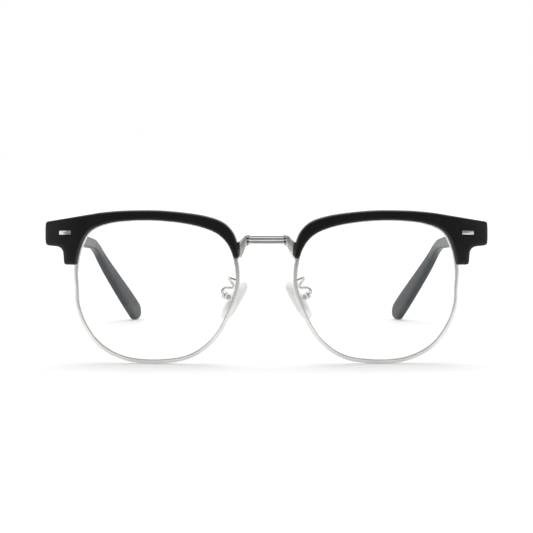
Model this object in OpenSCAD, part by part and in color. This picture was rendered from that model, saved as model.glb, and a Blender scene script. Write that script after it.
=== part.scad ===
// Half rim (browline) eyeglasses: metal rims and bridge, acetate brows and temples.
// Frame: +X across the front, +Y from the front back along the temples, +Z up.
// The pair stands open on a table: rims and temple tips touch z = 0.
// Side 1 is at +X and side -1 at -X; the +X side is modelled and mirrored.

/* [Lenses and rims] */
// Width of one lens shape
lens_w = 51.5; // [47:0.5:55]
// Height of one lens shape
lens_h = 45; // [41:0.2:48]
// Distance between the two lens shapes
nose_gap = 20; // [18:0.5:23]
// Thickness of a lens
lens_t = 1.8; // [1.4:0.1:2.2]
// Width of the rim wire, seen from the front
rim_w = 1.35; // [1.2:0.05:1.6]
// Depth of the rim wire, front to back
rim_d = 2; // [1.8:0.1:2.4]
// Depth of the groove that holds the lens
groove = 0.45; // [0.3:0.05:0.6]
// Radius of the curve that each half of the front follows
curve_r = 140; // [115:5:200]
// Angle by which each half turns back towards its temple
wrap = 4; // [0:0.5:6]

/* [Brows] */
// Thickness of the brow in front of the rim
brow_lip = 1.55; // [1.2:0.05:2.2]
// Distance from the lens shape to the end piece's outer side
end_reach = 11; // [10:0.2:12.6]
// Height of the end piece
end_h = 7.6; // [7:0.1:8.2]
// Height of the hinge above the middle of the lens
hinge_up = 18.2; // [17:0.2:19]
// Width of the leg that hides the closing block
leg_w = 4; // [3.8:0.1:4.6]
// Length of the leg below the end piece
leg_drop = 6.2; // [6:0.1:7.2]

/* [Bridge] */
// Height of the bridge above the middle of the lens
bridge_up = 16.5; // [14.6:0.1:17]
// Radius of one bridge rib
rib_r = 0.55; // [0.4:0.05:0.6]
// Spacing of the bridge ribs
rib_pitch = 1; // [0.85:0.05:1.15]
// Half the length of the ribbed bar
bar_half = 6.1; // [5:0.1:6.5]

/* [Hinges] */
// Outer radius of a hinge barrel
barrel_r = 1.5; // [1.3:0.05:1.6]
// Height of one of the five barrels
barrel_h = 1.05; // [0.8:0.05:1.1]
// Radius of the hinge screw
pin_r = 0.65; // [0.5:0.05:0.75]

/* [Temples] */
// Length of a temple from its front end to its tip
temple_len = 145; // [135:1:150]
// Length from the hinge screw to the bend
bend_at = 93; // [86:1:98]
// Angle by which the tip drops behind the ear
drop = 33.5; // [28:0.5:36]
// Thickness of a temple at its front end
temple_t = 3.9; // [3.6:0.1:4.4]
// Thickness of a temple from the bend to the tip
tip_t = 3.1; // [2.8:0.1:3.6]
// Half the height of the tip
tip_half = 3.9; // [3.2:0.1:4.4]
// Distance by which the tip curves in past the bend
tip_in = 12; // [7:0.5:12.5]

/* [Nose pads] */
// Length of a nose pad
pad_l = 14.5; // [12:0.5:16]
// Width of a nose pad
pad_w = 7.2; // [6.4:0.2:8]
// Thickness of a nose pad
pad_t = 2.6; // [2.4:0.1:3.2]
// Radius of the wire of a pad arm
arm_r = 0.5; // [0.4:0.05:0.6]

/* [Hidden] */
$fn = 48;

clear = 0.05;            // gap between seated pieces
run = 0.03;              // radial gap of a screw in its hole
eye_x = (nose_gap + lens_w) / 2;
eye_z = lens_h / 2 + rim_w;
rim_front = -rim_d / 2;
rim_back = rim_d / 2;
brow_front = rim_front - clear - brow_lip;
brow_reveal = 0.8;       // rim left showing beside the leg
ball_fn = 360;           // smoothness of the front's large curve

// ---------- curves ----------
function unit(v) = v / norm(v);
function catmull(a, b, c, d, t) =
    0.5 * (2 * b + (c - a) * t + (2 * a - 5 * b + 4 * c - d) * t * t
           + (3 * b - a - 3 * c + d) * t * t * t);
function closed_spline(p, n) =
    let (m = len(p))
    [for (i = [0:m - 1], k = [0:n - 1])
        catmull(p[(i + m - 1) % m], p[i], p[(i + 1) % m], p[(i + 2) % m], k / n)];
function open_spline(p, n) =
    let (m = len(p))
    concat([for (i = [0:m - 2], k = [0:n - 1])
        catmull(p[max(i - 1, 0)], p[i], p[i + 1], p[min(i + 2, m - 1)], k / n)], [p[m - 1]]);
function column(p, c) = [for (q = p) q[c]];

// outward unit normal of a counter-clockwise closed path at point i
function normal_at(p, i) =
    let (m = len(p), t = unit(p[(i + 1) % m] - p[(i + m - 1) % m]))
    [t[1], -t[0]];
function grow(p, d) = [for (i = [0:len(p) - 1]) p[i] + d * normal_at(p, i)];
function angle_of(q) = (atan2(q[1], q[0]) + 360) % 360;

// [point, normal] of the lens shape in direction a from its middle
function shape_at(a) =
    let (i = [for (j = [0:len(shape) - 2]) if (angle_of(shape[j]) <= a && angle_of(shape[j + 1]) > a) j][0],
         a0 = angle_of(shape[i]),
         a1 = angle_of(shape[i + 1]),
         f = (a - a0) / (a1 - a0))
    [shape[i] * (1 - f) + shape[i + 1] * f,
     unit(normal_at(shape, i) * (1 - f) + normal_at(shape, i + 1) * f)];
function shape_out(a, d) = let (s = shape_at(a)) s[0] + d * s[1];

// points of the arc that rounds corner b between a and c
function corner(a, b, c, r, n = 6) =
    let (u = unit(a - b), v = unit(c - b),
         half = acos(u * v) / 2,
         m = b + unit(u + v) * r / sin(half),
         s = b + u * r / tan(half) - m,
         e = b + v * r / tan(half) - m,
         turn = ((atan2(e[1], e[0]) - atan2(s[1], s[0])) + 540) % 360 - 180,
         from = atan2(s[1], s[0]))
    [for (k = [0:n]) m + r * [cos(from + turn * k / n), sin(from + turn * k / n)]];
// p holds [x, y, radius]; every point but the first and last is rounded
function rounded(p) =
    [for (i = [1:len(p) - 2])
        each corner([p[i - 1][0], p[i - 1][1]], [p[i][0], p[i][1]], [p[i + 1][0], p[i + 1][1]], p[i][2])];

// ---------- lens shape, counter-clockwise from the temple side ----------
shape_pts = [[25.1, 0.6], [25.3, 6.5], [23.9, 13.6], [21, 18.7], [15, 21.3], [7.5, 22.25],
             [-0.5, 22.3], [-8.5, 21.5], [-15.5, 19.9], [-20.6, 17.3], [-23.9, 12.6],
             [-25.4, 5.4], [-24.8, -1.2], [-22.2, -8.2], [-17.4, -15.8], [-10, -20.9],
             [0.4, -22.4], [10, -21.5], [17.7, -17.6], [22.6, -11.2], [24.8, -4.8]];
shape_raw = closed_spline(shape_pts, 4);
raw_lo = [min(column(shape_raw, 0)), min(column(shape_raw, 1))];
raw_hi = [max(column(shape_raw, 0)), max(column(shape_raw, 1))];
shape = [for (q = shape_raw)
    [(2 * q[0] - raw_hi[0] - raw_lo[0]) / (raw_hi[0] - raw_lo[0]) * lens_w / 2,
     (2 * q[1] - raw_hi[1] - raw_lo[1]) / (raw_hi[1] - raw_lo[1]) * lens_h / 2]];

// ---------- the front's curved frame: u across, v back, w up, from the middle of a lens ----------
function on_sphere(u, w, v) = curve_r - sqrt(pow(curve_r - v, 2) - u * u - w * w);
function from_eye(p) =
    [eye_x + p[0] * cos(wrap) - p[1] * sin(wrap), p[0] * sin(wrap) + p[1] * cos(wrap), eye_z + p[2]];
module in_eye() {
    translate([eye_x, 0, eye_z]) rotate([0, 0, wrap]) children();
}
module ball(v) {
    translate([0, curve_r, 0]) sphere(curve_r - v, $fn = ball_fn);
}
module prism(outline, v0 = -12, v1 = 30) {
    translate([0, v1, 0]) rotate([90, 0, 0]) linear_extrude(v1 - v0) polygon(outline);
}
// the outline's plate between two surfaces of the curve
module plate(outline, v0, v1) {
    difference() {
        intersection() {
            prism(outline);
            ball(v0);
        }
        ball(v1);
    }
}
// puts children on the curve with +Y going in, at (u, w) and depth v
module on_curve(u, w, v) {
    translate([0, curve_r, 0])
        rotate([-asin(w / (curve_r - v)), 0, atan2(u, sqrt(pow(curve_r - v, 2) - u * u - w * w))])
            translate([0, v - curve_r, 0]) children();
}
module rod_y(r, y0, y1) {
    translate([0, y1, 0]) rotate([90, 0, 0]) cylinder(r = r, h = y1 - y0);
}
module block(lo, hi) {
    translate(lo) cube(hi - lo);
}

// ---------- brow outline ----------
nose_end_a = 156;        // direction of the brow's end at the nose
// how far the brow rises beyond the lens shape, from the nose round to the end piece
brow_rise = [[nose_end_a, 2.2], [150, 2.95], [143, 3.9], [136, 4.3], [126, 4], [112, 3.65],
             [92, 3.5], [73, 3.5], [60, 3.75], [50, 4.5]];
reveal = [[20, brow_reveal], [34, 0.7], [46, 0.45], [58, 0.3]];
end_u = lens_w / 2 + end_reach;
end_top = hinge_up + end_h / 2;
end_bot = hinge_up - end_h / 2;
leg_bot = end_bot - leg_drop;
leg_foot_a = atan2(leg_bot + 1, lens_w / 2);
leg_u = shape_at(leg_foot_a)[0][0] + brow_reveal + leg_w;
inner_steps = 40;
brow_inner = [for (k = [0:inner_steps])
    let (a = leg_foot_a + (nose_end_a - leg_foot_a) * k / inner_steps) shape_out(a, lookup(a, reveal))];
brow_outer = open_spline([for (s = brow_rise) shape_out(s[0], s[1])], 4);
brow_foot = brow_inner[0];
nose_tip = [brow_inner[len(brow_inner) - 1], brow_outer[0]];
nose_cap = let (m = (nose_tip[0] + nose_tip[1]) / 2, s = nose_tip[0] - m)
    [for (k = [30:30:150]) m + [s[0] * cos(k) + s[1] * sin(k), s[1] * cos(k) - s[0] * sin(k)]];
brow_end = rounded([
    concat(brow_outer[len(brow_outer) - 1], 0),
    [end_u, end_top, 0.9],
    [end_u - 0.1, end_bot, 1.2],
    [leg_u + 0.5, end_bot - 0.5, 2.4],
    [leg_u, leg_bot, 0.9],
    [brow_foot[0] + 0.1, leg_bot, 0.6],
    concat(brow_foot, 0)
]);
brow_outline = concat(brow_inner, nose_cap, brow_outer, brow_end);

// ---------- hinge and temple placement ----------
butt_gap = 0.06;         // gap between the temple's front end and the end piece
pin_back = barrel_r + 0.5;   // hinge screw behind the end piece's back face
pin_in = barrel_r + 0.35;    // hinge screw inside the temple's inner face
end_d = 8;               // end piece's back face behind the lens middle
pin = [eye_x + end_u * cos(wrap) - temple_t - pin_in, end_d + pin_back, eye_z + hinge_up];
tip_run = temple_len - bend_at - pin_back - tip_half;
// slope of the temple, set so that the tip stands on the table
slope = let (a = bend_at + tip_run * cos(drop), b = tip_run * sin(drop))
    asin((pin[2] - tip_half) / sqrt(a * a + b * b)) - atan2(b, a);
module at_hinge() {
    translate(pin) rotate([-slope, 0, 0]) children();
}

// ---------- rims, lenses and closing blocks ----------
rim_outer = grow(shape, rim_w);
split_w = leg_bot + 4.1; // height of the rim's cut
split_gap = 0.1;
block_w = 2.6;
block_h = 2.4;
block_lo_v = rim_front + 0.1;
block_hi_v = rim_back + 1.2;
block_u = shape_at(leg_foot_a + 8)[0][0] + rim_w - 0.3;
rim_screw_u = block_u + block_w / 2 + 0.58;
rim_screw_v = (block_lo_v + block_hi_v) / 2 + on_sphere(block_u, split_w, 0);
rim_screw_r = 0.5;

module rim() color("silver") in_eye() difference() {
    plate(rim_outer, rim_front, rim_back);
    prism(shape);
    plate(grow(shape, groove), -0.35, 0.35);
    block([0, -12, split_w - split_gap / 2], [lens_w, 30, split_w + split_gap / 2]);
}
module lens() color("white", 0.3) in_eye() union() {
    plate(grow(shape, -clear), -lens_t / 2, lens_t / 2);
    plate(grow(shape, groove - clear), -0.3, 0.3);
}
module closing_block(w0, w1, bore_r) color("silver") in_eye() difference() {
    translate([0, on_sphere(block_u, split_w, 0), 0])
        block([block_u, block_lo_v, w0], [block_u + block_w, block_hi_v, w1]);
    prism(rim_outer);
    translate([rim_screw_u, rim_screw_v, w0 - 1]) cylinder(r = bore_r, h = w1 - w0 + 2);
}
module closing_block_upper()
    closing_block(split_w + split_gap / 2, split_w + split_gap / 2 + block_h, rim_screw_r + run);
module closing_block_lower()
    closing_block(split_w - split_gap / 2 - block_h, split_w - split_gap / 2, rim_screw_r + run);
// screw along +Z, its head below z = 0, with a slot
module slotted_screw(r, head_r, head_h, length) difference() {
    union() {
        translate([0, 0, -head_h]) cylinder(r = head_r, h = head_h);
        cylinder(r = r, h = length);
    }
    translate([-head_r - 1, -0.12, -head_h - 1]) cube([2 * head_r + 2, 0.24, 1 + head_h / 2]);
}
module rim_screw() color("silver") in_eye()
    translate([rim_screw_u, rim_screw_v, split_w - split_gap / 2 - block_h])
        slotted_screw(rim_screw_r, 0.7, 0.4, 2 * block_h);

// ---------- brows ----------
tab_h = 0.6;
tab_angles = [134, 54];
brow_screw_out = rim_w + 1.1;
brow_screw_r = 0.4;
plate_u = end_u - 7;     // middle of the decorative plate
plate_lift = 0.4;        // plate above the height of the hinge
plate_size = [4, 1.25];
plate_rise = 0.22;
plate_tilt = 2;
plate_pin = [0.4, 2.1];  // radius of the plate's rivet pins, and how deep they go
foot_room = 0.35;        // depth in front of the rim of the recess for the bridge's foot
leaf_h = 5 * barrel_h + 0.2;
front_leaf = [6.2, 0.75, leaf_h];

function tab_outline(a) =
    let (s = shape_at(a), p = s[0], n = s[1], t = [-n[1], n[0]])
    [for (q = [[-1.5, 0.2], [-1.5, 2], [-0.9, 3.1], [0.9, 3.1], [1.5, 2], [1.5, 0.2]])
        p - t * q[0] + n * q[1]];
module at_tab(a) {
    s = shape_out(a, brow_screw_out);
    on_curve(s[0], s[1], rim_back) children();
}
module at_plate() {
    on_curve(plate_u, hinge_up + plate_lift, brow_front) rotate([0, plate_tilt, 0]) children();
}
module plate_body(grow_by) {
    translate([0, 0.5 - plate_rise / 2, 0])
        cube([plate_size[0] + 2 * grow_by, 1 + plate_rise, plate_size[1] + 2 * grow_by], center = true);
    for (x = [-1, 1]) translate([x * 1.1, 0, 0]) rod_y(plate_pin[0] + grow_by, 0.5, plate_pin[1] + grow_by);
}
module brow() color([0.03, 0.03, 0.035]) difference() {
    in_eye() difference() {
        intersection() {
            prism(brow_outline);
            ball(brow_front);
        }
        // the back follows the curve, apart from the thick end piece
        difference() {
            ball(rim_back);
            translate([leg_u - leg_w - 0.8, 0, end_bot - 0.7]) rotate([0, 0, -28])
                block([0, -12, 0], [30, 30, 30]);
        }
        plate(grow(shape, rim_w + clear), rim_front - clear, 20);
        // recess behind the nose end for the bridge's foot
        plate([[-lens_w / 2 - 5, -5], [-lens_w / 2 + 4.8, -5], [-lens_w / 2 + 4.8, bridge_up + 1],
               [-lens_w / 2 - 5, bridge_up + 1]], rim_front - foot_room, 20);
        // pocket behind the leg for the closing block
        block([block_u - 2, on_sphere(block_u, split_w, rim_front) - 0.2, leg_bot - 2],
              [block_u + block_w + 0.15, 20, split_w + block_h + 0.25]);
        at_plate() plate_body(0.02);
        for (a = tab_angles) at_tab(a) rod_y(brow_screw_r + run, -2.2, 1);
    }
    at_hinge() {
        block([-40, -pin_back, -40], [40, 40, 40]);
        front_leaf_plate(clear);
    }
}
module brow_plate() color("silver") in_eye() at_plate() plate_body(0);
module brow_tabs() color("silver") in_eye() for (a = tab_angles) difference() {
    plate(tab_outline(a), rim_back, rim_back + tab_h);
    at_tab(a) rod_y(brow_screw_r + run, -1, 3);
}
module brow_screw_pair() color("silver") in_eye() for (a = tab_angles)
    at_tab(a) translate([0, tab_h, 0]) rotate([90, 0, 0]) slotted_screw(brow_screw_r, 0.8, 0.4, tab_h + 2);

// ---------- bridge ----------
bridge_r = 30;           // radius of the bridge's forward curve
bridge_y = -0.5;         // front curve's reach in front of the lens middle
bridge_z = eye_z + bridge_up;
foot_x = nose_gap / 2;
bar_top = rib_pitch + rib_r;
groove_end_r = 0.36;
groove_end_y = bridge_y + 0.95;   // bottom of the grooves' deep ends
foot_reach = 0.07 * lens_w;   // how far the foot reaches behind the brow
module bridge_bend(r0, r1, z0, z1) translate([0, bridge_y + bridge_r, 0]) difference() {
    translate([0, 0, z0]) cylinder(r = r1, h = z1 - z0);
    translate([0, 0, z0 - 1]) cylinder(r = r0, h = z1 - z0 + 2);
}
module bridge_foot() intersection() {
    bridge_bend(bridge_r - 0.6, bridge_r + 0.6, bridge_z - 12, bridge_z + 4);
    translate([0, 10, bridge_z]) rotate([90, 0, 0]) linear_extrude(20)
        polygon([[bar_half - 0.6, -bar_top], [foot_x - 3.2, -2.6], [foot_x - 2, -5.6], [foot_x - 0.6, -6.8],
                 [foot_x + foot_reach, -6.8], [foot_x + foot_reach, -0.9], [foot_x - 0.9, -0.8],
                 [foot_x - 2.9, 1.2], [bar_half - 0.3, bar_top], [bar_half - 0.6, bar_top]]);
}
module bridge() color("silver") difference() {
    union() {
        for (k = [-1, 0, 1])
            translate([0, bridge_y + bridge_r, bridge_z + k * rib_pitch])
                rotate([0, 0, -90 - asin(bar_half / bridge_r)])
                    rotate_extrude(angle = 2 * asin(bar_half / bridge_r))
                        translate([bridge_r, 0]) circle(rib_r);
        intersection() {
            bridge_bend(bridge_r - 0.5, bridge_r + 0.05,
                        bridge_z - rib_pitch - 0.4, bridge_z + rib_pitch + 0.4);
            block([-bar_half, -10, 0], [bar_half, 10, 100]);
        }
        for (side = [0, 1]) mirror([side, 0, 0]) bridge_foot();
    }
    for (side = [0, 1]) mirror([side, 0, 0]) in_eye() prism(rim_outer);
    // deep ends of the two grooves
    for (x = [-1, 1], k = [-1, 1])
        translate([x * (bar_half - 0.1), 0, bridge_z + k * rib_pitch / 2])
            rod_y(groove_end_r, -10, groove_end_y);
}

// ---------- hinges ----------
barrel_gap = 0.04;
barrel_step = barrel_h + barrel_gap;
module barrels(levels, bore) difference() {
    union() for (k = levels) translate([0, 0, (k - 2) * barrel_step - barrel_h / 2]) {
        cylinder(r = barrel_r, h = barrel_h);
        children();
    }
    translate([0, 0, -5]) cylinder(r = bore, h = 10);
}
module front_leaf_plate(extra) {
    block([1.1 - front_leaf[0] - extra, -pin_back - 0.35 - extra, -front_leaf[2] / 2 - extra],
          [1.1 + extra, -pin_back - 0.35 + front_leaf[1], front_leaf[2] / 2 + extra]);
    for (x = [-4, -1.6]) translate([x, 0, 0]) rod_y(0.5 + extra, -pin_back - 1.3 - extra, -pin_back);
}
module hinge_front() color("silver") at_hinge() {
    front_leaf_plate(0);
    barrels([0, 2, 4], pin_r + run) block([-1, -pin_back + 0.3, 0], [1, 0, barrel_h]);
}
temple_leaf_l = 9.5;
module temple_leaf_plate(extra) difference() {
    block([pin_in - 0.8, 0.2 - extra, -leaf_h / 2 - extra],
          [pin_in + 0.3 + extra, temple_leaf_l + extra, leaf_h / 2 + extra]);
    // room for the front's barrels, at every angle
    cylinder(r = barrel_r + 0.12 - extra, h = 2 * leaf_h, center = true);
}
module hinge_temple() color("silver") at_hinge() {
    temple_leaf_plate(0);
    barrels([1, 3], pin_r + run) block([0, 0, 0], [pin_in - 0.25, 1.3, barrel_h]);
}
module hinge_screw() color("silver") at_hinge()
    translate([0, 0, 2.5 * barrel_h + 2 * barrel_gap]) mirror([0, 0, 1])
        slotted_screw(pin_r, 1.15, 0.5, 5 * barrel_h + 4 * barrel_gap);

// ---------- temples, in the hinge's frame ----------
bend_r = 32;             // radius of the bend behind the ear
bend_arc = bend_r * drop * PI / 180;
bend_start = bend_at - bend_r * tan(drop / 2);
temple_run = bend_start + bend_arc + (tip_run - bend_r * tan(drop / 2));
// half height of the temple along its length
temple_half = open_spline([[-pin_back, end_h / 2], [14, 3.1], [45, 2.45], [bend_start, 1.95],
                           [bend_at + 6, 2.1], [temple_run - 26, 2.9],
                           [temple_run - 9, tip_half - 0.15], [temple_run, tip_half]], 5);
// point and heading of the temple's middle line, seen from the side
function mid_line(s) =
    s < bend_start ? [[s, 0], 0]
    : s < bend_start + bend_arc ? let (a = (s - bend_start) / bend_r * 180 / PI)
        [[bend_start + bend_r * sin(a), bend_r * (cos(a) - 1)], a]
    : let (r = s - bend_start - bend_arc)
        [[bend_start + bend_r * sin(drop) + r * cos(drop), bend_r * (cos(drop) - 1) - r * sin(drop)], drop];
function side_point(s, h) = let (m = mid_line(s)) m[0] + h * [sin(m[1]), cos(m[1])];
function side_outline(s0, s1, inset, stations) =
    let (ss = concat([s0], [for (s = stations) if (s > s0 + 1 && s < s1 - 1) s], [s1]),
         r = lookup(s1, temple_half) - inset)
    concat([for (s = ss) side_point(s, lookup(s, temple_half) - inset)],
           [for (k = [15:15:165]) mid_line(s1)[0] + r * [sin(drop + k), cos(drop + k)]],
           [for (i = [len(ss) - 1:-1:0]) side_point(ss[i], inset - lookup(ss[i], temple_half))]);
side_stations = concat([for (s = [12:11:bend_start - 4]) s], [for (k = [0:6]) bend_start + bend_arc * k / 6],
                       [for (k = [1:6])
                           bend_start + bend_arc + (temple_run - bend_start - bend_arc) * k / 7]);
// middle of the temple seen from above: straight to the bend, then curving in
bend_in = 4;             // how far the temple has moved in at the bend
plan_x0 = pin_in + temple_t / 2;
bend_x = plan_x0 - bend_in;
tip_y = bend_at + tip_run * cos(drop);
plan_tail = open_spline([[bend_x + 0.1 * bend_in, bend_at - 9], [bend_x - 0.04 * tip_in, bend_at + 1],
                         [bend_x - 0.22 * tip_in, bend_at + 11], [bend_x - tip_in, tip_y],
                         [bend_x - 1.25 * tip_in, tip_y + 9]], 5);
plan_mid = concat([[plan_x0, -pin_back]], plan_tail);
function plan_edge(side, t0, t1) =
    [for (q = plan_mid) [q[0] + side * (q[1] < 0 ? t0 : t1) / 2, q[1]]];
function plan_outline(t0, t1) =
    let (a = plan_edge(1, t0, t1), b = plan_edge(-1, t0, t1))
    concat(a, [for (i = [len(b) - 1:-1:0]) b[i]]);
module temple_solid(side, plan) intersection() {
    rotate([90, 0, 90]) translate([0, 0, -40]) linear_extrude(80) polygon(side);
    translate([0, 0, -60]) linear_extrude(120) polygon(plan);
}
core_t = 1.1;
core_inset = 1.05;
module core_solid(extra) {
    temple_solid(side_outline(-pin_back + 0.3 - 10 * extra, temple_run - 4, core_inset - extra,
                              side_stations),
                 plan_outline(core_t + 2 * extra, core_t + 2 * extra));
}
module temple() color([0.03, 0.03, 0.035]) at_hinge() difference() {
    intersection() {
        temple_solid(side_outline(-pin_back, temple_run, 0, side_stations), plan_outline(temple_t, tip_t));
        block([-60, -pin_back + butt_gap, -60], [60, 200, 60]);
    }
    core_solid(0.06);
    temple_leaf_plate(clear);
}
module temple_core() color("gray") at_hinge() core_solid(0);

// ---------- nose pads: z along the pad, y across it, -x towards the nose ----------
pad_splay = 27;
pad_lean = 31;
pad_tip = -4;            // lower end turned towards the front
pad_axis = [foot_x + 2.8, 8.4, eye_z - 2.6];
pad_off = 1.7;           // pad surface from the rocking screw
box_in = 1;
box_out = 1.5;
box_half = 1.1;
cheek = [0.6, 1.15];
pad_screw_r = 0.4;
module at_pad() {
    translate(pad_axis)
        rotate([pad_tip, 0, 0]) rotate([0, -pad_lean, 0]) rotate([0, 0, -pad_splay]) children();
}
pad_half = open_spline([[-pad_l / 2, 0], [-pad_l / 2 + 0.5, 0.32 * pad_w],
                        [-pad_l / 4, pad_w / 2], [pad_l / 8, 0.47 * pad_w],
                        [pad_l / 2 - 1.4, 0.34 * pad_w], [pad_l / 2, 0]], 4);
function pad_outline(inset) =
    let (f = 1 - 2 * inset / pad_w, g = 1 - 2 * inset / pad_l)
    concat([for (q = pad_half) [q[1] * f, q[0] * g]],
           [for (i = [len(pad_half) - 2:-1:1]) [-pad_half[i][1] * 0.9 * f, pad_half[i][0] * g]]);
module pad_slab(x0, x1, inset) {
    translate([x0, 0, 0]) rotate([90, 0, 90]) linear_extrude(x1 - x0) polygon(pad_outline(inset));
}
insert_t = 0.7;
module insert_plate(extra) {
    translate([-pad_off - 1 - extra, 0, 0]) rotate([0, 90, 0]) hull() for (z = [-1, 1])
        translate([z * 2.9, 0, 0]) cylinder(r = 1.5 + extra, h = insert_t + 2 * extra, $fn = 24);
    block([-pad_off - 0.4 - extra, -0.5 - extra, -0.8 - extra], [0, 0.5 + extra, 0.8 + extra]);
}
module nose_pad() color("white", 0.6) at_pad() difference() {
    hull() {
        pad_slab(-pad_off - pad_t + 0.9, -pad_off - 0.7, 0);
        pad_slab(-pad_off - pad_t, -pad_off, 0.9);
    }
    insert_plate(clear);
}
module pad_insert() color("silver") at_pad() difference() {
    union() {
        insert_plate(0);
        rotate([90, 0, 0]) cylinder(r = 0.8, h = 1, center = true);
    }
    rotate([90, 0, 0]) cylinder(r = pad_screw_r + run, h = 4, center = true);
}
module pad_box() color("silver") at_pad() difference() {
    block([-box_in, -cheek[1], -box_half], [box_out, cheek[1], box_half]);
    block([-box_in - 1, -cheek[0], -box_half - 1], [box_out - 0.5, cheek[0], box_half + 1]);
    rotate([90, 0, 0]) cylinder(r = pad_screw_r + run, h = 6, center = true);
}
module pad_screw() color("silver") at_pad()
    translate([0, -cheek[1], 0]) rotate([-90, 0, 0])
        slotted_screw(pad_screw_r, 0.7, 0.35, 2 * cheek[1] + 0.1);

// ---------- pad arms ----------
function turn_x(p, a) = [p[0], p[1] * cos(a) - p[2] * sin(a), p[1] * sin(a) + p[2] * cos(a)];
function turn_y(p, a) = [p[0] * cos(a) + p[2] * sin(a), p[1], p[2] * cos(a) - p[0] * sin(a)];
function turn_z(p, a) = [p[0] * cos(a) - p[1] * sin(a), p[0] * sin(a) + p[1] * cos(a), p[2]];
function pad_point(p) = pad_axis + turn_x(turn_y(turn_z(p, -pad_splay), -pad_lean), pad_tip);
arm_root = let (s = shape_out(174, rim_w / 2)) from_eye([s[0], on_sphere(s[0], s[1], rim_back) + 0.06, s[1]]);
arm_pts = concat([for (q = [[0, 0, 0], [0.1, 0.9, 0.1], [0.7, 1.6, 0.6], [2, 2.3, 1.1], [3, 3.4, 1.1],
                            [2.6, 4.5, 0.1],
                            [1.7, 5, -1.1], [1.7, 5.2, -2.2]]) arm_root + q],
                 [pad_point([box_out + 0.7, 0, 2.4]), pad_point([box_out + 1.25, 0, 1]),
                  pad_point([box_out + 0.75, 0, 0.15]),
                  pad_point([box_out + 0.02, 0, 0])]);
arm_line = open_spline(arm_pts, 3);
function heading(p, i) = unit(p[min(i + 1, len(p) - 1)] - p[max(i - 1, 0)]);
// side vector carried along the line, kept square to it
function carried(p, i, s) = let (t = heading(p, i)) unit(s - (s * t) * t);
function side_vectors(p, i = 0, s = [0.1, 0.2, 1]) =
    i == len(p) ? [] : let (v = carried(p, i, s)) concat([v], side_vectors(p, i + 1, v));
module wire(p, r, n) {
    sides = side_vectors(p);
    rings = [for (i = [0:len(p) - 1], k = [0:n - 1])
        p[i] + r * (sides[i] * cos(360 * k / n) + cross(heading(p, i), sides[i]) * sin(360 * k / n))];
    m = len(p);
    polyhedron(rings, concat(
        [[for (k = [0:n - 1]) k]], [[for (k = [n - 1:-1:0]) (m - 1) * n + k]],
        [for (i = [0:m - 2], k = [0:n - 1], half = [0, 1])
            half == 0 ? [i * n + k, (i + 1) * n + k, (i + 1) * n + (k + 1) % n]
                      : [i * n + k, (i + 1) * n + (k + 1) % n, i * n + (k + 1) % n]]));
}
module pad_arm() color("silver") wire(arm_line, arm_r, 10);

// ---------- assembly ----------
front_y = min(bridge_y - rib_r,
    min([for (q = brow_inner) from_eye([q[0], on_sphere(q[0], q[1], brow_front), q[1]])[1]]));
tip_mid = mid_line(temple_run)[0];
back_y = pin[1] + tip_mid[0] * cos(slope) + tip_mid[1] * sin(slope) + tip_half;
module left() {
    translate([0, -(front_y + back_y) / 2, 0]) children();
}
module right() {
    mirror([1, 0, 0]) left() children();
}
module both() {
    left() children();
    right() children();
}

left() bridge();
both() rim_screw();  // rim_screws
both() brow_screw_pair();  // brow_screws
both() hinge_screw();  // hinge_screws
both() pad_screw();  // pad_screws
left() rim();  // rim_left
right() rim();  // rim_right
left() lens();  // lens_left
right() lens();  // lens_right
left() brow();  // brow_left
right() brow();  // brow_right
left() brow_plate();  // brow_plate_left
right() brow_plate();  // brow_plate_right
left() brow_tabs();  // brow_tabs_left
right() brow_tabs();  // brow_tabs_right
left() closing_block_upper();  // closing_block_upper_left
right() closing_block_upper();  // closing_block_upper_right
left() closing_block_lower();  // closing_block_lower_left
right() closing_block_lower();  // closing_block_lower_right
left() hinge_front();  // hinge_front_left
right() hinge_front();  // hinge_front_right
left() hinge_temple();  // hinge_temple_left
right() hinge_temple();  // hinge_temple_right
left() temple();  // temple_left
right() temple();  // temple_right
left() temple_core();  // temple_core_left
right() temple_core();  // temple_core_right
left() pad_arm();  // pad_arm_left
right() pad_arm();  // pad_arm_right
left() pad_box();  // pad_box_left
right() pad_box();  // pad_box_right
left() pad_insert();  // pad_insert_left
right() pad_insert();  // pad_insert_right
left() nose_pad();  // nose_pad_left
right() nose_pad();  // nose_pad_right
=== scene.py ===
import math
import bmesh
import bpy
import numpy as np
from mathutils import Matrix, Vector, geometry


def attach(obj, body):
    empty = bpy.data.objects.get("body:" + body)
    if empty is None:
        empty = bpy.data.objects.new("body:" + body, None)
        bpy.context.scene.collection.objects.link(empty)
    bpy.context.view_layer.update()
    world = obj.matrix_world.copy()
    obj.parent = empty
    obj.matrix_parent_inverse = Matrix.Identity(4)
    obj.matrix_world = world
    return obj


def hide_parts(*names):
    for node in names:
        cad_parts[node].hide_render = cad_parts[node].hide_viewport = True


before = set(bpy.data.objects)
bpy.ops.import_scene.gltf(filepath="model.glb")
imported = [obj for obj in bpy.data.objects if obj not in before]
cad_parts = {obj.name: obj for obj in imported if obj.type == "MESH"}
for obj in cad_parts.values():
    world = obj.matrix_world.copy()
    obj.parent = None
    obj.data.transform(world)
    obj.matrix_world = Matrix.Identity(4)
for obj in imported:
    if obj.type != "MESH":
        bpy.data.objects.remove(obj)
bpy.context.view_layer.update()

MM = 0.001
EDGE_STEPS = 5      # steps round a rounded edge

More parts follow.
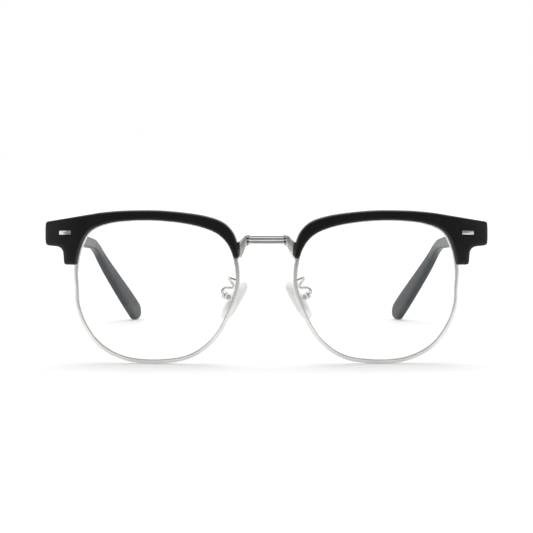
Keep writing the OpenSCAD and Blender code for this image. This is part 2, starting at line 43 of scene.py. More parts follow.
# ---------- shared sizes, in mm ----------
LENS_W, LENS_H, NOSE_GAP = 51.5, 45.0, 20.0
RIM_W, RIM_D, LENS_T = 1.35, 2.0, 1.8
CURVE_R = 140.0
WRAP = math.radians(4)
SHIFT = -70.2697    # how far back the lens middle lies
EYE_X = (LENS_W + NOSE_GAP) / 2
EYE_Z = LENS_H / 2 + RIM_W
BROW_FRONT = -2.6
HINGE_UP, END_H, END_REACH = 18.2, 7.6, 11.0
LEG_W, LEG_DROP = 4.0, 6.2
END_U = LENS_W / 2 + END_REACH
END_TOP = HINGE_UP + END_H / 2
END_BOT = HINGE_UP - END_H / 2
LEG_BOT = END_BOT - LEG_DROP
SPLIT_W = LEG_BOT + 4.1
SLOPE = math.radians(5.60028)
PIN = np.array([66.6605, 10 + SHIFT, 42.05])
TEMPLE_T, TIP_T, TIP_HALF = 3.9, 3.1, 3.9
BRIDGE_Z, RIB_PITCH, BAR_HALF = EYE_Z + 16.5, 1.0, 6.1
SIDES = (("left", 1), ("right", -1))


# ---------- curves ----------
def spline(points, n, closed=False):
    """Catmull-Rom curve through the points, n steps a span."""
    p = np.array(points, float)
    m = len(p)
    spans = range(m) if closed else range(m - 1)
    out = []
    for i in spans:
        a, b, c, d = ((p[(i + k) % m] for k in (-1, 0, 1, 2)) if closed
                      else (p[min(max(i + k, 0), m - 1)] for k in (-1, 0, 1, 2)))
        for k in range(n):
            t = k / n
            out.append(0.5 * (2 * b + (c - a) * t + (2 * a - 5 * b + 4 * c - d) * t * t
                              + (3 * b - a - 3 * c + d) * t ** 3))
    if not closed:
        out.append(p[-1])
    return np.array(out)


def normals(p):
    """Outward unit normals of a closed counter-clockwise path."""
    t = np.roll(p, -1, 0) - np.roll(p, 1, 0)
    t /= np.linalg.norm(t, axis=1)[:, None]
    return np.stack([t[:, 1], -t[:, 0]], 1)


def resample(p, step):
    """The closed path with even steps."""
    q = np.vstack([p, p[:1]])
    run = np.concatenate([[0], np.cumsum(np.linalg.norm(np.diff(q, axis=0), axis=1))])
    s = np.linspace(0, run[-1], max(int(run[-1] / step), 8), endpoint=False)
    return np.stack([np.interp(s, run, q[:, k]) for k in range(q.shape[1])], 1)


def corner(a, b, c, r, n=6):
    """Points of the arc that rounds corner b."""
    a, b, c = (np.array(q[:2], float) for q in (a, b, c))
    u = (a - b) / np.linalg.norm(a - b)
    v = (c - b) / np.linalg.norm(c - b)
    half = math.acos(float(np.dot(u, v))) / 2
    m = b + (u + v) / np.linalg.norm(u + v) * r / math.sin(half)
    s = b + u * r / math.tan(half) - m
    e = b + v * r / math.tan(half) - m
    start = math.atan2(s[1], s[0])
    turn = (math.atan2(e[1], e[0]) - start + math.pi) % (2 * math.pi) - math.pi
    turns = [start + turn * k / n for k in range(n + 1)]
    return [m + r * np.array([math.cos(t), math.sin(t)]) for t in turns]


def rounded(p):
    """The path's inner points, each rounded by the radius that it carries."""
    return [q for i in range(1, len(p) - 1) for q in corner(p[i - 1], p[i], p[i + 1], p[i][2])]


# ---------- lens shape ----------
RAW = spline([(25.1, 0.6), (25.3, 6.5), (23.9, 13.6), (21, 18.7), (15, 21.3), (7.5, 22.25), (-0.5, 22.3),
              (-8.5, 21.5), (-15.5, 19.9), (-20.6, 17.3), (-23.9, 12.6), (-25.4, 5.4), (-24.8, -1.2),
              (-22.2, -8.2), (-17.4, -15.8), (-10, -20.9), (0.4, -22.4), (10, -21.5), (17.7, -17.6),
              (22.6, -11.2), (24.8, -4.8)], 12, closed=True)
LOW, HIGH = RAW.min(0), RAW.max(0)
SHAPE = (2 * RAW - HIGH - LOW) / (HIGH - LOW) * np.array([LENS_W, LENS_H]) / 2
SHAPE = resample(SHAPE, 0.5)
SHAPE_N = normals(SHAPE)
SHAPE_A = np.degrees(np.arctan2(SHAPE[:, 1], SHAPE[:, 0])) % 360


def shape_out(angle, d):
    """The point at distance d outside the lens shape, in direction angle."""
    order = np.argsort(SHAPE_A)
    at = np.array([np.interp(angle, SHAPE_A[order], SHAPE[order, k], period=360) for k in (0, 1)])
    n = np.array([np.interp(angle, SHAPE_A[order], SHAPE_N[order, k], period=360) for k in (0, 1)])
    return at + d * n / np.linalg.norm(n)


# ---------- the front's curved frame ----------
def on_sphere(u, w, v):
    """Distance back, from the lens middle, of the curve at depth v."""
    return CURVE_R - np.sqrt((CURVE_R - v) ** 2 - u * u - w * w)


def from_eye(p):
    """Eye frame (across, back, up) to row frame, in mm."""
    p = np.atleast_2d(p)
    return np.stack([EYE_X + p[:, 0] * math.cos(WRAP) - p[:, 1] * math.sin(WRAP),
                     SHIFT + p[:, 0] * math.sin(WRAP) + p[:, 1] * math.cos(WRAP), EYE_Z + p[:, 2]], 1)


def ball(v):
    """The front's curve at depth v, as a function of points on it."""
    return lambda p: on_sphere(p[:, 0], p[:, 1], v)


def inside(p, poly):
    """Which points lie inside the polygon."""
    x, y = p[:, 0][:, None], p[:, 1][:, None]
    a, b = poly, np.roll(poly, -1, 0)
    cross = (a[:, 1] > y) != (b[:, 1] > y)
    at = (b[:, 0] - a[:, 0]) * (y - a[:, 1]) / (b[:, 1] - a[:, 1] + 1e-12) + a[:, 0]
    return (np.sum(cross & (x < at), axis=1) % 2) == 1


# ---------- meshes ----------
def finish_mesh(name, bm, sharp=38):
    bmesh.ops.remove_doubles(bm, verts=bm.verts, dist=2e-6)
    bmesh.ops.recalc_face_normals(bm, faces=bm.faces)
    me = bpy.data.meshes.new(name)
    bm.to_mesh(me)
    bm.free()
    me.polygons.foreach_set("use_smooth", [True] * len(me.polygons))
    me.set_sharp_from_angle(angle=math.radians(sharp))
    ob = bpy.data.objects.new(name, me)
    bpy.context.scene.collection.objects.link(ob)
    return ob


def place(points, side):
    """Row-frame mm to metres, mirrored for the right side."""
    q = np.array(points, float) * MM
    q[:, 0] *= side
    return [Vector(v) for v in q]


def skin(bm, rings, closed=True):
    """Quads between following rings of the same length."""
    for a, b in zip(rings, rings[1:]):
        n = len(a)
        for i in range(n if closed else n - 1):
            j = (i + 1) % n
            bm.faces.new((a[i], a[j], b[j], b[i]))


def cap(bm, ring, depth, side, grid):
    """Fills an outline on the surface depth, with a grid of points inside it."""
    lo, hi = ring.min(0), ring.max(0)
    gx, gy = np.meshgrid(np.arange(lo[0], hi[0], grid), np.arange(lo[1], hi[1], grid))
    pts = np.stack([gx.ravel(), gy.ravel()], 1)
    pts = pts[inside(pts, ring)]
    near = np.min(np.linalg.norm(pts[:, None] - ring[None], axis=2), axis=1) if len(pts) else []
    pts = pts[near > grid * 0.45] if len(pts) else pts
    every = np.vstack([ring, pts])
    n = len(ring)
    border = [(i, (i + 1) % n) for i in range(n)]
    done = geometry.delaunay_2d_cdt([Vector(q) for q in every], border, [], 1, 1e-6)
    flat = np.array([v[:] for v in done[0]])
    curved = from_eye(np.stack([flat[:, 0], depth(flat), flat[:, 1]], 1))
    verts = [bm.verts.new(v) for v in place(curved, side)]
    for f in done[2]:
        bm.faces.new([verts[i] for i in f])


def slab(name, outline, front, back, r, side, step=0.4, grid=1.5, r_back=0.2, sharp=38):
    """A plate of the front between two curved surfaces.

    Its edges are rounded, by r in front and by r_back behind.
    """
    p = resample(outline, step)
    if np.sum(p[:, 0] * np.roll(p[:, 1], -1) - p[:, 1] * np.roll(p[:, 0], -1)) < 0:
        p = p[::-1]
    n = normals(p)
    bm = bmesh.new()
    rings = []
    flat_rings = []
    for radius, surface, sign in ((r, front, 1), (r_back, back, -1)):
        turns = [math.pi / 2 * k / EDGE_STEPS for k in range(EDGE_STEPS, -1, -1)]
        turns = turns if sign > 0 else turns[::-1]
        for t in turns:
            q = p - n * radius * (1 - math.cos(t))
            y = surface(q) + sign * radius * (1 - math.sin(t))
            ring = from_eye(np.stack([q[:, 0], y, q[:, 1]], 1))
            flat_rings.append(q)
            rings.append([bm.verts.new(v) for v in place(ring, side)])
    skin(bm, rings)
    cap(bm, flat_rings[0], front, side, grid)
    cap(bm, flat_rings[-1], back, side, grid)
    return finish_mesh(name, bm, sharp)


def cut(ob, *tools):
    """Takes the tools out of ob, and removes them."""
    for tool in tools:
        m = ob.modifiers.new("cut", "BOOLEAN")
        m.operation = "DIFFERENCE"
        m.solver = "EXACT"
        m.object = tool
    done = bpy.data.meshes.new_from_object(ob.evaluated_get(bpy.context.evaluated_depsgraph_get()))
    ob.modifiers.clear()
    ob.data = done
    done.set_sharp_from_angle(angle=math.radians(38))
    for tool in tools:
        bpy.data.objects.remove(tool)
    return ob


# ---------- materials ----------
class Look:
    """A material on the Principled shader, with object-space noise for its detail."""

    def __init__(self, name, colour, rough, **sockets):
        self.mat = bpy.data.materials.new(name)
        self.mat.use_nodes = True
        self.tree = self.mat.node_tree
        self.shader = self.tree.nodes["Principled BSDF"]
        self.shader.inputs["Base Color"].default_value = (*colour, 1)
        self.shader.inputs["Roughness"].default_value = rough
        for key, value in sockets.items():
            self.shader.inputs[key.replace("_", " ")].default_value = value
        self.where = self.tree.nodes.new("ShaderNodeTexCoord").outputs["Object"]

    def noise(self, scale, detail=4, stretch=(1, 1, 1), roughness=0.5):
        m = self.tree.nodes.new("ShaderNodeMapping")
        m.inputs["Scale"].default_value = stretch
        self.tree.links.new(self.where, m.inputs["Vector"])
        n = self.tree.nodes.new("ShaderNodeTexNoise")
        n.inputs["Scale"].default_value = scale
        n.inputs["Detail"].default_value = detail
        n.inputs["Roughness"].default_value = roughness
        self.tree.links.new(m.outputs["Vector"], n.inputs["Vector"])
        return n.outputs["Fac"]

    def spread(self, value, low, high, start=0.3, end=0.7):
        r = self.tree.nodes.new("ShaderNodeMapRange")
        r.inputs["From Min"].default_value = start
        r.inputs["From Max"].default_value = end
        r.inputs["To Min"].default_value = low
        r.inputs["To Max"].default_value = high
        self.tree.links.new(value, r.inputs["Value"])
        return r.outputs["Result"]

    def set(self, socket, value):
        self.tree.links.new(value, self.shader.inputs[socket])
        return self

    def mix(self, value, a, b):
        m = self.tree.nodes.new("ShaderNodeMix")
        m.data_type = "RGBA"
        m.inputs["A"].default_value = (*a, 1)
        m.inputs["B"].default_value = (*b, 1)
        self.tree.links.new(value, m.inputs["Factor"])
        return m.outputs["Result"]

    def maths(self, operation, a, b=None):
        m = self.tree.nodes.new("ShaderNodeMath")
        m.operation = operation
        for socket, value in zip(m.inputs, (a, b)):
            if isinstance(value, bpy.types.NodeSocket):
                self.tree.links.new(value, socket)
            elif value is not None:
                socket.default_value = value
        return m.outputs["Value"]

    def bump(self, value, strength, distance=0.00005):
        b = self.tree.nodes.new("ShaderNodeBump")
        b.inputs["Strength"].default_value = strength
        b.inputs["Distance"].default_value = distance
        self.tree.links.new(value, b.inputs["Height"])
        self.tree.links.new(b.outputs["Normal"], self.shader.inputs["Normal"])
        return self


def acetate():
    k = Look("acetate", (0.004, 0.004, 0.004), 0.2, IOR=1.49, Specular_IOR_Level=0.34)
    cloud = k.spread(k.noise(60, 3, (1, 0.25, 1)), 0, 1)
    k.set("Base Color", k.mix(cloud, (0.005, 0.005, 0.0048), (0.0095, 0.009, 0.0085)))
    k.set("Roughness", k.spread(k.noise(420, 6), 0.18, 0.26))
    k.bump(k.noise(900, 3), 0.012)
    return k.mat


def temple_acetate():
    k = Look("temple_acetate", (0.02, 0.024, 0.027), 0.3, IOR=1.49, Specular_IOR_Level=0.5)
    cloud = k.spread(k.noise(50, 3, (1, 0.2, 1)), 0, 1)
    k.set("Base Color", k.mix(cloud, (0.008, 0.015, 0.019), (0.015, 0.025, 0.031)))
    k.set("Roughness", k.spread(k.noise(380, 6), 0.3, 0.38))
    k.bump(k.noise(900, 3), 0.012)
    return k.mat


def silver():
    k = Look("silver", (0.6, 0.6, 0.58), 0.2, Metallic=1.0)
    k.set("Base Color", k.mix(k.spread(k.noise(140, 4), 0, 1), (0.76, 0.755, 0.725), (0.85, 0.845, 0.81)))
    k.set("Roughness", k.spread(k.noise(700, 6), 0.16, 0.26))
    k.bump(k.noise(2500, 4), 0.02, 0.00002)
    return k.mat


def ribbed():
    """The bridge's silver, with painted shade darkening the two grooves between its ribs and their deep
    ends.
    """
    k = Look("silver_ribs", (0.8, 0.8, 0.78), 0.2, Metallic=1.0)
    split = k.tree.nodes.new("ShaderNodeSeparateXYZ")
    k.tree.links.new(k.where, split.inputs[0])
    off_rib = k.maths("ABSOLUTE", k.maths("SUBTRACT", split.outputs["Z"], BRIDGE_Z * MM))
    off_groove = k.maths("ABSOLUTE", k.maths("SUBTRACT", off_rib, RIB_PITCH / 2 * MM))
    in_groove = k.spread(off_groove, 1, 0, 0.1 * MM, 0.34 * MM)
    in_bar = k.spread(k.maths("ABSOLUTE", split.outputs["X"]), 1, 0, (BAR_HALF - 0.3) * MM, BAR_HALF * MM)
    # painted shade: the base colour is darker along the grooves between the ribs
    groove_shade = k.maths("MULTIPLY", in_groove, in_bar)
    k.set("Base Color", k.mix(groove_shade, (0.8, 0.8, 0.77), (0.57, 0.57, 0.55)))
    # painted shade: the deep ends of the grooves are painted near black and not metallic
    from_end = k.maths("SUBTRACT", k.maths("ABSOLUTE", split.outputs["X"]), (BAR_HALF - 0.1) * MM)
    away = k.maths("SQRT", k.maths("ADD", k.maths("POWER", from_end, 2), k.maths("POWER", off_groove, 2)))
    k.set("Metallic", k.spread(away, 0, 1, 0.33 * MM, 0.37 * MM))
    k.set("Specular IOR Level", k.spread(away, 0, 0.5, 0.33 * MM, 0.37 * MM))
    tint = k.shader.inputs["Base Color"].links[0].from_socket
    groove_end_shade = k.mix(k.spread(away, 0, 1, 0.33 * MM, 0.37 * MM), (0.01, 0.01, 0.01), (1, 1, 1))
    both = k.tree.nodes.new("ShaderNodeMix")
    both.data_type = "RGBA"
    both.blend_type = "MULTIPLY"
    both.inputs["Factor"].default_value = 1
    k.tree.links.new(tint, both.inputs["A"])
    k.tree.links.new(groove_end_shade, both.inputs["B"])
    k.set("Base Color", both.outputs["Result"])
    k.set("Roughness", k.spread(k.noise(700, 6), 0.16, 0.26))
    k.bump(k.noise(2500, 4), 0.02, 0.00002)
    return k.mat


def steel():
    k = Look("screw_steel", (0.5, 0.5, 0.5), 0.3, Metallic=1.0)
    k.set("Base Color", k.mix(k.spread(k.noise(300, 4), 0, 1), (0.42, 0.42, 0.42), (0.56, 0.56, 0.55)))
    k.set("Roughness", k.spread(k.noise(1600, 5), 0.22, 0.4))
    k.bump(k.noise(3000, 3), 0.08, 0.00002)
    return k.mat


def wire():
    k = Look("core_wire", (0.45, 0.45, 0.46), 0.35, Metallic=1.0)
    k.set("Roughness", k.spread(k.noise(900, 5, (1, 0.1, 1)), 0.28, 0.45))
    k.bump(k.noise(2000, 3, (1, 0.1, 1)), 0.08, 0.00002)
    return k.mat


def silicone():
    # painted light: the pads glow faintly white, so that they show lighter
    k = Look("silicone", (0.95, 0.955, 0.95), 0.3, IOR=1.41, Transmission_Weight=0.5, Emission_Strength=0.07)
    k.shader.inputs["Emission Color"].default_value = (1, 1, 1, 1)
    k.set("Base Color", k.mix(k.spread(k.noise(260, 3), 0, 1), (0.95, 0.955, 0.955), (0.985, 0.985, 0.985)))
    k.set("Roughness", k.spread(k.noise(300, 3), 0.3, 0.36))
    k.bump(k.noise(1500, 3), 0.015)
    return k.mat


def clear_lens():
    """Clear by its alpha: it mirrors more at a flat angle, and lets the rest through.

    Known fault: seen from well above, about 50 degrees up, it shows dark and bright bands.
    """
    k = Look("lens", (0.97, 0.985, 0.98), 0.02, Metallic=1.0)
    f = k.tree.nodes.new("ShaderNodeFresnel")
    f.inputs["IOR"].default_value = 1.22
    add = k.tree.nodes.new("ShaderNodeMath")
    add.operation = "ADD"
    k.tree.links.new(f.outputs["Fac"], add.inputs[0])
    k.tree.links.new(k.spread(k.noise(90, 5), 0.0, 0.012, 0.45, 0.75), add.inputs[1])
    k.set("Alpha", add.outputs["Value"])
    k.set("Roughness", k.spread(k.noise(160, 6), 0.01, 0.06))
    k.bump(k.noise(30, 2), 0.01)
    return k.mat


LOOKS = {
    "acetate": acetate(), "temple_acetate": temple_acetate(), "silver": silver(), "ribs": ribbed(),
    "screw_steel": steel(), "core_wire": wire(), "silicone": silicone(), "lens": clear_lens()
}


def dress(ob, look, body, *nodes, slot=None):
    """Gives a new piece its look, parents it to the body it moves with, and hides the CAD nodes it stands
    for.
    """
    ob.data.materials.clear()
    ob.data.materials.append(LOOKS[look])
    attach(ob, body)
    if nodes:
        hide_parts(*nodes)


# ---------- brows ----------
LEG_FOOT = math.degrees(math.atan2(LEG_BOT + 1, LENS_W / 2))
NOSE_END = 156
REVEAL_LEG = 0.8
REVEAL = ([20, 34, 46, 58], [REVEAL_LEG, 0.7, 0.45, 0.3])
INNER = np.array([shape_out(a, np.interp(a, *REVEAL)) for a in np.linspace(LEG_FOOT, NOSE_END, 160)])
RISE = [(NOSE_END, 2.2), (150, 2.95), (143, 3.9), (136, 4.3), (126, 4.0), (112, 3.65), (92, 3.5), (73, 3.5),
        (60, 3.75), (50, 4.5)]
OUTER = spline([shape_out(a, d) for a, d in RISE], 12)
LEG_U = shape_out(LEG_FOOT, 0)[0] + REVEAL_LEG + LEG_W
BLOCK_U = shape_out(LEG_FOOT + 8, 0)[0] + RIM_W - 0.3
LEG_IN = INNER[0]
TIP_A, TIP_B = INNER[-1], OUTER[0]
TIP_M = (TIP_A + TIP_B) / 2
TIP_S = TIP_A - TIP_M
TIP_SQUARE = np.array([TIP_S[1], -TIP_S[0]])
CAP = [TIP_M + TIP_S * math.cos(k) + TIP_SQUARE * math.sin(k) for k in np.radians(range(12, 180, 12))]
END = rounded([(*OUTER[-1], 0), (END_U, END_TOP, 0.9), (END_U - 0.1, END_BOT, 1.2),
               (LEG_U + 0.5, END_BOT - 0.5, 2.4), (LEG_U, LEG_BOT, 0.9), (LEG_IN[0] + 0.1, LEG_BOT, 0.6),
               (*LEG_IN, 0)])
BROW = np.vstack([INNER, CAP, OUTER, END])
ROOM = np.array([(BLOCK_U - 2, LEG_BOT - 2), (BLOCK_U + 2.75, LEG_BOT - 2), (BLOCK_U + 2.75, SPLIT_W + 2.65),
                 (BLOCK_U - 2, SPLIT_W + 2.65)])


def brow_back(p):
    """The brow's back: the front's curve, and a thick end piece with a flat back, square to the temple."""
    thin = on_sphere(p[:, 0], p[:, 1], RIM_D / 2)
    z = EYE_Z + p[:, 1]
    y = PIN[1] + ((z - PIN[2]) * math.sin(SLOPE) - 2) / math.cos(SLOPE)
    flat = (y - SHIFT - p[:, 0] * math.sin(WRAP)) / math.cos(WRAP)
    ramp = (p[:, 0] - (LEG_U - LEG_W - 0.8)) / math.tan(math.radians(28))
    thick = np.maximum(thin, np.minimum(ramp, flat))
    return np.where(p[:, 1] > END_BOT - 0.7, thick, thin)


for side_name, side in SIDES:
    brow = slab("acetate_brow_" + side_name, BROW, ball(BROW_FRONT), brow_back, 0.75, side, 0.3, 0.9)
    rim_room = slab("tool", SHAPE + SHAPE_N * (RIM_W + 0.05), ball(-RIM_D / 2 - 0.05), ball(20), 0.01, side,
                    0.6, 3)
    block_room = slab("tool", ROOM, ball(-RIM_D / 2 - 0.2), ball(20), 0.01, side, 0.6, 2)
    cut(brow, rim_room, block_room)
    dress(brow, "acetate", "front", "brow_" + side_name)


# ---------- rims: a rounded bar round the lens ---------------------------
def section(w, d, r, n=5):
    """Rounded rectangle from 0 to w across and -d/2 to d/2 deep."""
    out = []
    corners = ((w - r, d / 2 - r, 0), (r, d / 2 - r, 90), (r, r - d / 2, 180), (w - r, r - d / 2, 270))
    for cx, cy, start in corners:
        for k in range(n + 1):
            a = math.radians(start + 90 * k / n)
            out.append((cx + r * math.cos(a), cy + r * math.sin(a)))
    return out


rim_path = resample(SHAPE, 0.35)
rim_n = normals(rim_path)
for side_name, side in SIDES:
    bm = bmesh.new()
    rings = []
    for d, v in section(RIM_W, RIM_D, 0.35):
        q = rim_path + rim_n * d
        rings.append(from_eye(np.stack([q[:, 0], on_sphere(q[:, 0], q[:, 1], v), q[:, 1]], 1)))
    rings = np.array(rings).transpose(1, 0, 2)
    rings = [[bm.verts.new(v) for v in place(r, side)] for r in rings]
    skin(bm, rings + rings[:1])
    dress(finish_mesh("metal_rim_" + side_name, bm, 50), "silver", "front", "rim_" + side_name)
    lens = slab("clear_lens_" + side_name, SHAPE + SHAPE_N * 0.1, ball(-LENS_T / 2), ball(LENS_T / 2), 0.3,
                side, 0.7, 2.0, 0.3, 60)
    dress(lens, "lens", "front", "lens_" + side_name)


# ---------- temples, in the hinge's frame ----------
def from_hinge(p):
    p = np.atleast_2d(p)
    c, s = math.cos(SLOPE), math.sin(SLOPE)
    return PIN + np.stack([p[:, 0], p[:, 1] * c + p[:, 2] * s, p[:, 2] * c - p[:, 1] * s], 1)


BEND_AT, DROP, BEND_R, PIN_BACK = 93.0, math.radians(33.5), 32.0, 2.0
TEMPLE_LEN = 145.0
TIP_RUN = TEMPLE_LEN - BEND_AT - PIN_BACK - TIP_HALF
BEND_START = BEND_AT - BEND_R * math.tan(DROP / 2)
ARC = BEND_R * DROP
RUN = BEND_START + ARC + TIP_RUN - BEND_R * math.tan(DROP / 2)
HALF = spline([(-PIN_BACK, END_H / 2), (14, 3.1), (45, 2.45), (BEND_START, 1.95), (BEND_AT + 6, 2.1),
               (RUN - 26, 2.9), (RUN - 9, TIP_HALF - 0.15), (RUN, TIP_HALF)], 12)
PIN_TO_FACE = 1.85  # from the pin to the temple's inner face
PLAN_X = PIN_TO_FACE + TEMPLE_T / 2
BEND_IN, TIP_IN = 4.0, 12.0
BEND_X = PLAN_X - BEND_IN
TIP_Y = BEND_AT + TIP_RUN * math.cos(DROP)
TAIL = spline([(BEND_X + 0.1 * BEND_IN, BEND_AT - 9), (BEND_X - 0.04 * TIP_IN, BEND_AT + 1),
               (BEND_X - 0.22 * TIP_IN, BEND_AT + 11), (BEND_X - TIP_IN, TIP_Y),
               (BEND_X - 1.25 * TIP_IN, TIP_Y + 9)], 12)
PLAN = np.vstack([[(PLAN_X, -PIN_BACK)], TAIL])


def mid_line(s):
    """(back, up, heading) of the temple's middle line, s along it from the pin."""
    if s < BEND_START:
        return s, 0.0, 0.0
    a = min((s - BEND_START) / BEND_R, DROP)
    rest = max(s - BEND_START - ARC, 0)
    back = BEND_START + BEND_R * math.sin(a) + rest * math.cos(a)
    return back, BEND_R * (math.cos(a) - 1) - rest * math.sin(a), a


def temple(name, side):
    """Rings of a rounded section along the middle line, closed by a flat front end and a round tip."""
    bm = bmesh.new()
    stations = [(-PIN_BACK + 0.06, 0.25, 0.0), (-PIN_BACK + 0.14, 0.08, 0.0), (-PIN_BACK + 0.3, 0.0, 0.0)]
    stations += [(s, 0.0, 0.0) for s in np.arange(-1, RUN, 1.2)]
    stations += [(RUN, 0.0, a) for a in np.radians(range(0, 90, 6))]
    rings = []
    for s, inset, a in stations:
        cy, cz, turn = mid_line(s)
        h = np.interp(s, HALF[:, 0], HALF[:, 1]) * math.cos(a) - inset
        ahead = TIP_HALF * math.sin(a)
        power = np.interp(s, (40, BEND_AT), (0.42, 0.62))
        ring = []
        for k in range(48):
            t = 2 * math.pi * k / 48
            across = math.copysign(abs(math.cos(t)) ** power, math.cos(t))
            up = math.copysign(abs(math.sin(t)) ** power, math.sin(t)) * h
            y = cy + ahead * math.cos(turn) + up * math.sin(turn)
            z = cz - ahead * math.sin(turn) + up * math.cos(turn)
            x = np.interp(y, PLAN[:, 1], PLAN[:, 0])
            thick = np.interp(y, (-PIN_BACK, BEND_AT - 9), (TEMPLE_T, TIP_T)) / 2 - inset
            ring.append((x + across * thick * (1 - 0.25 * (a / 1.57) ** 3), y, z))
        rings.append([bm.verts.new(v) for v in place(from_hinge(np.array(ring)), side)])
    skin(bm, rings)
    bm.faces.new(rings[0][::-1])
    bm.faces.new(rings[-1])
    return finish_mesh(name, bm, 45)


for side_name, side in SIDES:
    dress(temple("acetate_temple_" + side_name, side), "temple_acetate", "temple_" + side_name,
          "temple_" + side_name, slot="acetate")

# ---------- nose pads ----------
PAD_AXIS = np.array([12.8, 8.4 + SHIFT, 21.25])
PAD_L, PAD_W, PAD_T, PAD_OFF = 14.5, 7.2, 2.6, 1.7
PAD_SPLAY, PAD_LEAN, PAD_TIP = 27, 31, -4
PAD_BULGE, PAD_FILL = 0.25, 0.985


def from_pad(p):
    r = (Matrix.Rotation(math.radians(PAD_TIP), 3, "X") @ Matrix.Rotation(math.radians(-PAD_LEAN), 3, "Y")
         @ Matrix.Rotation(math.radians(-PAD_SPLAY), 3, "Z"))
    return np.array([PAD_AXIS + np.array(r @ Vector(q)) for q in p])


HALF_PAD = spline([(-PAD_L / 2, 0), (-PAD_L / 2 + 0.5, 0.32 * PAD_W), (-PAD_L / 4, PAD_W / 2),
                   (PAD_L / 8, 0.47 * PAD_W), (PAD_L / 2 - 1.4, 0.34 * PAD_W), (PAD_L / 2, 0)], 10)
PAD = resample(np.vstack([HALF_PAD[:, ::-1], HALF_PAD[-2:0:-1, ::-1] * np.array([-0.9, 1])]), 0.45)
for side_name, side in SIDES:
    bm = bmesh.new()
    rings = []
    for t in np.radians(np.arange(-84, 85, 8)):
        size = abs(math.cos(t)) ** 0.55
        x = -PAD_OFF - PAD_T / 2 - PAD_T / 2 * math.sin(t)
        # the side towards the nose bulges, but not past the CAD's pad
        across = [x - PAD_BULGE * (1 - (p[0] / (PAD_W / 2)) ** 2) * (t > 0) for p in PAD]
        q = [(max(c, -PAD_OFF - PAD_T), *(p * size * PAD_FILL)) for c, p in zip(across, PAD)]
        rings.append([bm.verts.new(v) for v in place(from_pad(q), side)])
    skin(bm, rings)
    for ring in (rings[0], rings[-1]):
        middle = bm.verts.new(sum((v.co for v in ring), Vector()) / len(ring))
        for i, v in enumerate(ring):
            bm.faces.new((v, ring[(i + 1) % len(ring)], middle))
    pad = finish_mesh("silicone_pad_" + side_name, bm, 60)
    dress(pad, "silicone", "nose_pad_" + side_name, "nose_pad_" + side_name)

# ---------- CAD nodes that show: welded, with softened edges, and the pad arms subdivided ----------
SOFT_EDGE, SCREW_EDGE = 0.0001, 0.00005
REBUILT = ("brow_left", "brow_right", "rim_left", "rim_right", "lens", "temple_left", "temple_right",
           "nose_pad")
for name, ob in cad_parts.items():
    if name.startswith(REBUILT):
        continue
    look = "silver"
    if "screws" in name:
        look = "screw_steel"
    if name.startswith("temple_core"):
        look = "core_wire"
    if name == "bridge":
        look = "ribs"
    for material_slot in ob.material_slots:
        material_slot.material = LOOKS[look]
    weld = ob.modifiers.new("weld", "WELD")
    weld.merge_threshold = 2e-6
    if name.startswith("pad_arm"):
        smooth = ob.modifiers.new("smooth", "SUBSURF")
        smooth.levels = smooth.render_levels = 2
    else:
        edge = ob.modifiers.new("edges", "BEVEL")
        edge.width = SCREW_EDGE if "screws" in name else SOFT_EDGE
        edge.segments = 2
        edge.limit_method = "ANGLE"
        edge.angle_limit = math.radians(40)
        edge.harden_normals = True
    ob.data.polygons.foreach_set("use_smooth", [True] * len(ob.data.polygons))


# ---------- floor, lights and camera ----------
NEAR_GLOW, FAR_GLOW = 0.22, 0.5


def floor():
    bm = bmesh.new()
    bmesh.ops.create_grid(bm, x_segments=40, y_segments=40, size=25.0)
    for v in bm.verts:
        v.co.z = -0.00002
    ob = finish_mesh("floor", bm)
    k = Look("paper", (0.9, 0.9, 0.9), 0.8)
    k.set("Base Color", k.mix(k.spread(k.noise(8, 4), 0, 1), (0.9, 0.9, 0.9), (0.92, 0.92, 0.92)))
    k.bump(k.noise(600, 4), 0.03)
    # the paper is lit from below, more so away from the object
    far = k.tree.nodes.new("ShaderNodeVectorMath")
    far.operation = "LENGTH"
    k.tree.links.new(k.where, far.inputs[0])
    k.shader.inputs["Emission Color"].default_value = (1, 1, 1, 1)
    k.set("Emission Strength", k.spread(far.outputs["Value"], NEAR_GLOW, FAR_GLOW, 0.15, 0.9))
    ob.data.materials.append(k.mat)


def lamp(name, size, power, at, to):
    data = bpy.data.lights.new(name, "AREA")
    data.shape = "RECTANGLE"
    data.size, data.size_y = size
    data.energy = power
    ob = bpy.data.objects.new(name, data)
    ob.location = at
    ob.rotation_euler = (Vector(to) - Vector(at)).to_track_quat("-Z", "Y").to_euler()
    bpy.context.scene.collection.objects.link(ob)


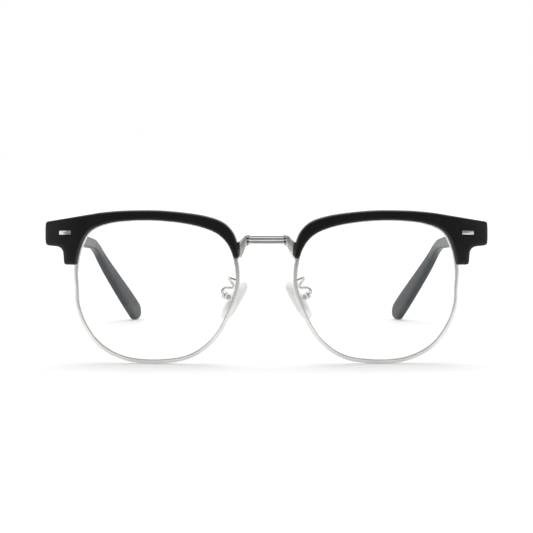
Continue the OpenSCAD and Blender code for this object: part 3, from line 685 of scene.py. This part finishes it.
def card():
    """A low glowing grey card round the front that only reflections see."""
    bm = bmesh.new()
    rings = []
    for z in (0.001, 0.04):
        rings.append([bm.verts.new((0.13 * math.sin(a), -0.07 - 0.13 * math.cos(a), z))
                      for a in np.radians(range(-60, 61, 4))])
    skin(bm, rings, closed=False)
    ob = finish_mesh("card", bm)
    k = Look("card", (0.05, 0.05, 0.05), 0.9)
    k.shader.inputs["Emission Color"].default_value = (1, 1, 1, 1)
    k.set("Emission Strength", k.spread(k.noise(9, 3), 0.42, 0.5))
    ob.data.materials.append(k.mat)
    ob.visible_camera = ob.visible_diffuse = ob.visible_shadow = ob.visible_transmission = False


floor()
card()
lamp("overhead", (0.9, 0.7), 3.0, (0, 0.05, 0.8), (0, 0, 0))
lamp("front_left", (0.5, 0.5), 0.5, (-0.85, -0.55, 0.22), (0, -0.05, 0.03))
lamp("front_right", (0.5, 0.5), 0.4, (0.85, -0.55, 0.22), (0, -0.05, 0.03))
world = bpy.data.worlds.new("studio")
world.use_nodes = True
nodes, links = world.node_tree.nodes, world.node_tree.links
apart = nodes.new("ShaderNodeSeparateXYZ")
links.new(nodes.new("ShaderNodeTexCoord").outputs["Generated"], apart.inputs["Vector"])
fade = nodes.new("ShaderNodeMapRange")
fade.interpolation_type = "SMOOTHSTEP"
for key, value in (("From Min", -0.7), ("From Max", 0.85), ("To Min", 0.25), ("To Max", 1.0)):
    fade.inputs[key].default_value = value
links.new(apart.outputs["Y"], fade.inputs["Value"])
nodes["Background"].inputs["Color"].default_value = (1, 1, 1, 1)
links.new(fade.outputs["Result"], nodes["Background"].inputs["Strength"])
scene = bpy.context.scene
scene.world = world
scene.view_settings.view_transform = "Standard"

CAMERA_AT, CAMERA_DOWN = (0, -0.57027, 0.06724), 4.064
lens_data = bpy.data.cameras.new("camera")
lens_data.lens = 105
lens_data.sensor_width = 36
lens_data.clip_start = 0.01
camera = bpy.data.objects.new("camera", lens_data)
camera.location = CAMERA_AT
camera.rotation_euler = (math.radians(90 - CAMERA_DOWN), 0, 0)
scene.collection.objects.link(camera)
scene.camera = camera
